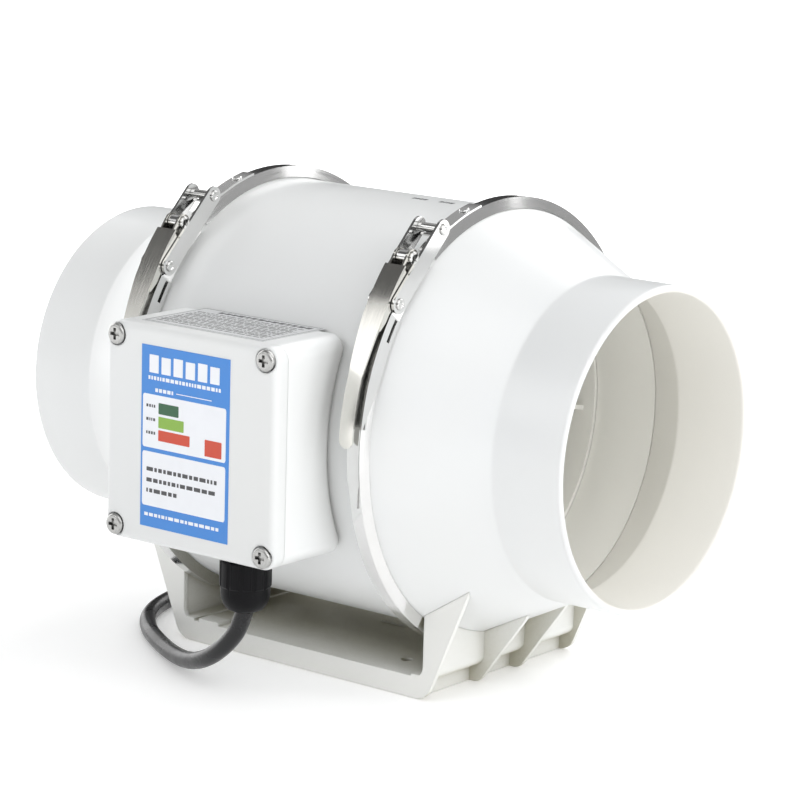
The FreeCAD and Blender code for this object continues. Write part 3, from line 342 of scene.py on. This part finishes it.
def make_materials():
    made = {}
    housing = moulded("housing_white", (0.80, 0.815, 0.82), 0.36, 0.2, edge=0.003)
    # Painted shade: a darker, warmer colour where the clamp bands, box and bracket come close to the
    # housing.
    housing.tint(housing.crevice_shade(0.015, 0.25), (0.52, 0.51, 0.46))
    # Painted light: faces turned towards the fan's axis get a paler, warmer colour that stands in for
    # how light falls inside the duct.
    inner_painted_light = housing.math("MULTIPLY", housing.faces_axis(), 0.9)
    made["housing"] = housing.tint(inner_painted_light, (0.92, 0.905, 0.855))
    made["duct"] = moulded("duct_ivory", (0.93, 0.925, 0.885), 0.45, 0.05,
                           warm=(0.88, 0.87, 0.81))
    bracket = moulded("bracket_white", (0.88, 0.885, 0.86), 0.45, 0.08, edge=0.0008)
    # Painted shade: a warm dark tint in the bracket's corners and under the fan body.
    made["bracket"] = bracket.tint(bracket.crevice_shade(0.07, 0.95, 0.30), (0.40, 0.38, 0.28))
    box = moulded("box_white", (0.82, 0.835, 0.84), 0.34, 0.25)
    # Painted shade: darker colour where the box meets the body and the clamp band.
    made["box"] = box.tint(box.crevice_shade(0.025, 0.6), (0.40, 0.39, 0.36))
    made["lid"] = moulded("lid_white", (0.765, 0.78, 0.785), 0.36, 0.2, edge=0.0015)
    made["impeller"] = moulded("impeller_grey", (0.60, 0.60, 0.57), 0.45, 0.05, warm=(0.5, 0.5, 0.46))
    made["nylon"] = moulded("terminal_nylon", (0.74, 0.72, 0.64), 0.5, 0.0)
    made["band"] = brushed("band_steel", (0.74, 0.74, 0.735), 0.13, (2600, 30, 30))
    latch = brushed("latch_steel", (0.74, 0.74, 0.735), 0.13, (2200, 60, 60))
    # Painted shade: a near-black tint in the narrow gaps between links, strap and latch base.
    made["latch"] = latch.tint(latch.crevice_shade(0.004, 0.7), (0.10, 0.10, 0.10))
    made["lever"] = brushed("lever_steel", (0.72, 0.71, 0.67), 0.16, (2200, 60, 60))
    pin = brushed("pin_steel", (0.72, 0.72, 0.71), 0.14, (60, 900, 900))
    # Painted shade: a near-black tint where the pins sit in their holes.
    made["pin"] = pin.tint(pin.crevice_shade(0.0012, 0.8), (0.06, 0.06, 0.06))
    screw = brushed("screw_zinc", (0.48, 0.48, 0.47), 0.28, (500, 500, 500))
    # Painted shade: a dark ring round the screw heads and in their recesses.
    made["screw"] = screw.tint(screw.crevice_shade(0.0015, 0.95), (0.03, 0.03, 0.03))
    made["motor"] = brushed("motor_steel", (0.42, 0.43, 0.45), 0.4, (60, 900, 900))
    made["core"] = brushed("core_laminations", (0.20, 0.20, 0.21), 0.5, (6000, 20, 20))
    made["copper"] = brushed("winding_copper", (0.62, 0.27, 0.11), 0.35, (2500, 2500, 30))
    made["brass"] = brushed("pin_brass", (0.78, 0.62, 0.30), 0.22, (60, 900, 900))
    black = Surface("gland_black", (0.005, 0.005, 0.006), 0.46, specular=0.12)
    black.rough(black.spread(black.noise(70, 3), 0.3, 0.7, 0.36, 0.52))
    black.tint(black.spread(black.noise(14, 4), 0.4, 0.8, 0.0, 0.5), (0.010, 0.010, 0.011))
    made["black"] = black.bump(black.noise(1500, 3), 0.00004)
    cord = Surface("cord_black", (0.008, 0.008, 0.009), 0.28, coat=0.1, specular=0.35)
    cord.rough(cord.spread(cord.noise(90, 3), 0.3, 0.7, 0.22, 0.38))
    cord.tint(cord.spread(cord.noise(30, 3), 0.45, 0.8, 0.0, 0.5), (0.016, 0.016, 0.018))
    made["cord"] = cord.bump(cord.noise(700, 2), 0.00003)
    rubber = Surface("seal_rubber", (0.03, 0.03, 0.03), 0.7)
    made["rubber"] = rubber.bump(rubber.noise(900, 3), 0.00005)
    made["label_blue"] = printed("label_blue", (0.050, 0.245, 0.68), 0.30)
    made["label_silver"] = printed("label_silver", (0.66, 0.67, 0.68), 0.34, 0.15)
    made["ink_white"] = printed("ink_white", (0.86, 0.88, 0.92), 0.35)
    made["ink_dark"] = printed("ink_dark", (0.06, 0.06, 0.065), 0.45)
    made["ink_grey"] = printed("ink_grey", (0.07, 0.07, 0.075), 0.45)
    made["ink_deep_green"] = printed("ink_deep_green", (0.028, 0.115, 0.050), 0.38)
    made["ink_green"] = printed("ink_green", (0.25, 0.45, 0.06), 0.38)
    made["ink_red"] = printed("ink_red", (0.62, 0.065, 0.028), 0.38)
    made["can"] = moulded("capacitor_case", (0.10, 0.12, 0.14), 0.3, 0.2, warm=(0.06, 0.07, 0.08))
    return made


def dress(material, *names):
    """Gives CAD nodes a material."""
    for name in names:
        mesh = nodes[name].data
        mesh.materials.clear()
        mesh.materials.append(material.material)


def dress_all(made):
    dress(made["housing"], "centre_body", "inlet_cone", "outlet_cone")
    dress(made["duct"], "intake_bellmouth", "impeller_shroud", "stator_shroud", "outlet_liner",
          "guide_vanes", "motor_mount", "tail_cone")
    dress(made["bracket"], "mounting_bracket")
    dress(made["box"], "terminal_box")
    dress(made["lid"], "terminal_lid")
    dress(made["impeller"], "impeller_hub", "impeller_blades")
    dress(made["nylon"], "terminal_block")
    dress(made["can"], "capacitor")
    for end in ("inlet_", "outlet_"):
        dress(made["band"], end + "clamp_band")
        dress(made["latch"], end + "latch_base", end + "hook_strap", end + "links")
        dress(made["lever"], end + "lever")
        dress(made["pin"], end + "link_pins")
    dress(made["pin"], "strap_rivets", "lever_rivets", "motor_shaft", "motor_bearings")
    dress(made["screw"], "lid_screws", "box_screws", "bracket_screws", "ring_screws", "impeller_nut")
    dress(made["motor"], "motor_casing", "motor_end_cap")
    dress(made["core"], "stator_core", "motor_rotor")
    dress(made["copper"], "stator_windings")
    dress(made["brass"], "plug_pins")
    dress(made["black"], "gland_body", "gland_nut", "gland_locknut", "cord_tie", "power_plug")
    dress(made["cord"], "cord_inner_end", "motor_leads")
    dress(made["rubber"], "flange_seals", "lid_gasket", "gland_seal")
    dress(made["label_blue"], "front_label")
    dress(made["label_silver"], "rating_label")


# ---------------------------------------------------------------- cord

CORD_DIAMETER = 0.008
COIL_CENTRE = Vector((-0.049, 0.115, 0))
COIL_OUTER_R = 0.04635
COIL_INNER_R = 0.03835
COIL_LOW_Z = 0.0046
COIL_HIGH_Z = 0.0126
POINTS_PER_TURN = 16
COIL_TURNS = 3.25


def cord_route():
    """The free cord's route, from the gland's mouth to the coil, in millimetres."""
    return [
        (15.3, -113.0, 42.3), (13.2, -113.5, 34.5), (8.6, -114.2, 27.4), (1.8, -114.2, 21.0),
        (-7.2, -112.0, 15.3), (-18.5, -107.0, 10.5), (-32.0, -99.5, 6.8), (-48.0, -90.0, 4.4),
        (-66.0, -79.5, 4.0), (-85.0, -66.5, 4.0), (-102.0, -48.5, 4.0), (-113.0, -25.0, 4.0),
        (-117.0, 2.0, 4.0), (-118.0, 26.0, 4.0), (-114.5, 50.0, 4.0), (-107.5, 72.0, 4.2),
        (-99.5, 93.0, 4.6), (-95.35, 114.0, 4.6),
    ]


def eased(angle, start, end):
    """0 before the start angle, 1 after the end angle, and a straight change between them."""
    return min(1.0, max(0.0, (angle - start) / (end - start)))


def coil_points():
    """Four tight turns: outer and inner on the floor, then inner and outer on top of them."""
    points = []
    for i in range(1, int(POINTS_PER_TURN * COIL_TURNS)):
        wound = 360.0 * i / POINTS_PER_TURN
        inward = eased(wound, 250, 310) - eased(wound, 850, 910)
        raised = eased(wound, 550, 610)
        radius = (COIL_OUTER_R + (COIL_INNER_R - COIL_OUTER_R) * inward) * 1.012
        height = COIL_LOW_Z + (COIL_HIGH_Z - COIL_LOW_Z) * raised
        a = math.radians(180.0 - wound)
        points.append(COIL_CENTRE + Vector((radius * math.cos(a), radius * math.sin(a), height)))
    return points


def tail_points():
    start = COIL_CENTRE + Vector((0, COIL_OUTER_R, COIL_HIGH_Z))
    steps = ((0, 0, 0), (11, 0.2, -0.4), (22, 1.4, -1.9), (32, 3.6, -3.6))
    return [start + Vector(step) * MM for step in steps]


def make_cord(material):
    points = [Vector(p) * MM for p in cord_route()] + coil_points() + tail_points()
    curve = bpy.data.curves.new("mains_cord", "CURVE")
    curve.dimensions = "3D"
    curve.bevel_depth = CORD_DIAMETER / 2
    curve.bevel_resolution = 8
    curve.resolution_u = 12
    curve.use_fill_caps = True
    spline = curve.splines.new("NURBS")
    spline.points.add(len(points) - 1)
    for slot, point in zip(spline.points, points):
        slot.co = (*point, 1)
    spline.order_u = 3
    spline.use_endpoint_u = True
    cord = bpy.data.objects.new("mains_cord", curve)
    bpy.context.scene.collection.objects.link(cord)
    curve.materials.append(material.material)
    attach(cord, "housing")
    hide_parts("power_cord", "cord_coil", "cord_tail")
    return cord


# ---------------------------------------------------------------- printed marks

LABEL_LEFT, LABEL_WIDTH = -0.0277, 0.0512
LABEL_TOP, LABEL_HEIGHT = 0.1587, 0.0814
LABEL_SHEET = 0.0002
INK = 0.00003    # the thickness of one layer of ink, thick enough to show


def rounded(left, right, low, high, radius):
    """A rectangle's outline with round corners."""
    points = []
    corners = ((right, high, -1, -1, 0), (left, high, 1, -1, 90),
               (left, low, 1, 1, 180), (right, low, -1, 1, 270))
    for x, y, in_x, in_y, start in corners:
        for turn in range(0, 91, 15):
            a = math.radians(start + turn)
            points.append((x + radius * (in_x + math.cos(a)), y + radius * (in_y + math.sin(a))))
    return points


def make_print(name, finish, marks, place):
    """Thin closed marks of one ink. Each is an outline with the heights of its two faces."""
    build = bmesh.new()
    for outline, low, high in marks:
        rims = [[build.verts.new(place(u, v, h)) for u, v in outline] for h in (low, high)]
        for rim in rims:
            build.faces.new(rim)
        for i, vert in enumerate(rims[0]):
            j = (i + 1) % len(outline)
            build.faces.new((vert, rims[0][j], rims[1][j], rims[1][i]))
    bmesh.ops.recalc_face_normals(build, faces=build.faces)
    mesh = bpy.data.meshes.new(name)
    build.to_mesh(mesh)
    build.free()
    mesh.materials.append(finish.material)
    piece = bpy.data.objects.new(name, mesh)
    bpy.context.scene.collection.objects.link(piece)
    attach(piece, "housing")


def on_front(u, v, height):
    """A place on the front label, from fractions across and down it."""
    return (LABEL_LEFT + LABEL_WIDTH * u, LID_FRONT_Y - height, LABEL_TOP - LABEL_HEIGHT * v)


def on_box_top(x, y, height):
    return (x, y, BOX_TOP_Z + height)


def on_body(x, angle, height):
    """A place on the round centre body, from x and the degrees from its top towards the front."""
    a = math.radians(angle)
    reach = BODY_R + height
    return (x, -reach * math.sin(a), AXIS_Z + reach * math.cos(a))


def front_mark(left, right, top, bottom, low=0, high=1, corner=0.004):
    """A mark on the front label, low and high counted in layers of ink."""
    outline = rounded(left, right, top, bottom, min(corner, (right - left) / 3, (bottom - top) / 3))
    return (outline, LABEL_SHEET + INK * (low - 1), LABEL_SHEET + INK * (high + 1))


def dash_row(dice, left, right, low, high, shortest, longest, gap):
    """The spans of one row of dashes that stands for a line of print."""
    spans = []
    at = left
    while at < right - shortest:
        end = min(right, at + dice.uniform(shortest, longest))
        spans.append((at, end, low, high))
        at = end + gap
    return spans


def make_front_print(made):
    dice = random.Random(4)
    white = [front_mark(0.09 + 0.138 * i, 0.09 + 0.138 * i + 0.105, 0.050 + 0.006 * (i % 2), 0.148)
             for i in range(6)]
    for span in dash_row(dice, 0.08, 0.92, 0.166, 0.186, 0.014, 0.045, 0.012):
        white.append(front_mark(*span, corner=0.002))
    white.append(front_mark(0.40, 0.80, 0.2375, 0.2420, corner=0.001))
    for span in dash_row(dice, 0.16, 0.37, 0.230, 0.250, 0.016, 0.04, 0.012):
        white.append(front_mark(*span, corner=0.002))
    for span in dash_row(dice, 0.05, 0.90, 0.922, 0.940, 0.012, 0.06, 0.014):
        white.append(front_mark(*span, corner=0.002))
    white.append(front_mark(0.02, 0.965, 0.267, 0.560, corner=0.018))
    white.append(front_mark(0.02, 0.965, 0.583, 0.883, corner=0.018))
    make_print("front_label_white", made["ink_white"], white, on_front)
    dark = []
    for top in (0.322, 0.396, 0.470):
        for span in dash_row(dice, 0.06, 0.165, top, top + 0.016, 0.012, 0.03, 0.009):
            dark.append(front_mark(*span, low=1, high=2, corner=0.002))
    for top, right in ((0.668, 0.90), (0.728, 0.88), (0.786, 0.42)):
        for span in dash_row(dice, 0.07, right, top, top + 0.022, 0.018, 0.075, 0.016):
            dark.append(front_mark(*span, low=1, high=2, corner=0.003))
    make_print("front_label_dark", made["ink_grey"], dark, on_front)
    bars = (("deep_green", 0.43, 0.307, 0.368), ("green", 0.49, 0.382, 0.444),
            ("red", 0.56, 0.456, 0.515))
    for colour, right, top, bottom in bars:
        marks = [front_mark(0.20, right, top, bottom, low=1, high=2, corner=0.006)]
        if colour == "red":
            marks.append(front_mark(0.73, 0.92, 0.455, 0.545, low=1, high=2, corner=0.006))
        make_print("front_label_" + colour, made["ink_" + colour], marks, on_front)


def make_rating_print(made):
    """The plate on the box: a thin frame, a bold line of dashes and rows of fine ones."""
    dice = random.Random(9)
    left, right, front, back = -0.0350, 0.0335, -0.1254, -0.0856
    line = 0.00032
    spans = [(left, right, front, front + line), (left, right, back - line, back),
             (left, left + line, front, back), (right - line, right, front, back)]
    spans += dash_row(dice, left + 0.012, right - 0.003, back - 0.0056, back - 0.0024,
                      0.0020, 0.0038, 0.0011)
    for row in range(11):
        y = back - 0.0080 - 0.0027 * row
        spans += dash_row(dice, left + 0.003, right - 0.004, y - 0.0009, y, 0.0010, 0.0058, 0.0008)
        if row % 3 == 2:
            spans.append((left + 0.002, right - 0.002, y - 0.0019, y - 0.0017))
    marks = [([(a, c), (b, c), (b, d), (a, d)], LABEL_SHEET - INK, LABEL_SHEET + INK)
             for a, b, c, d in spans]
    make_print("rating_label_marks", made["ink_dark"], marks, on_box_top)


def make_body_print(made):
    """Two short groups of fine marks on the top of the centre body, beside the outlet clamp."""
    dice = random.Random(3)
    marks = []
    for left, right in BODY_MARK_X:
        for a, b, low, high in dash_row(dice, left, right, 0.6, 2.2, 0.0009, 0.0024, 0.0006):
            marks.append(([(a, low), (b, low), (b, high), (a, high)], -INK, INK))
    make_print("body_marks", made["ink_grey"], marks, on_body)


# ---------------------------------------------------------------- whole scene

make_camera()
make_stage()
made = make_materials()
dress_all(made)
make_cord(made["cord"])
make_front_print(made)
make_rating_print(made)
make_body_print(made)
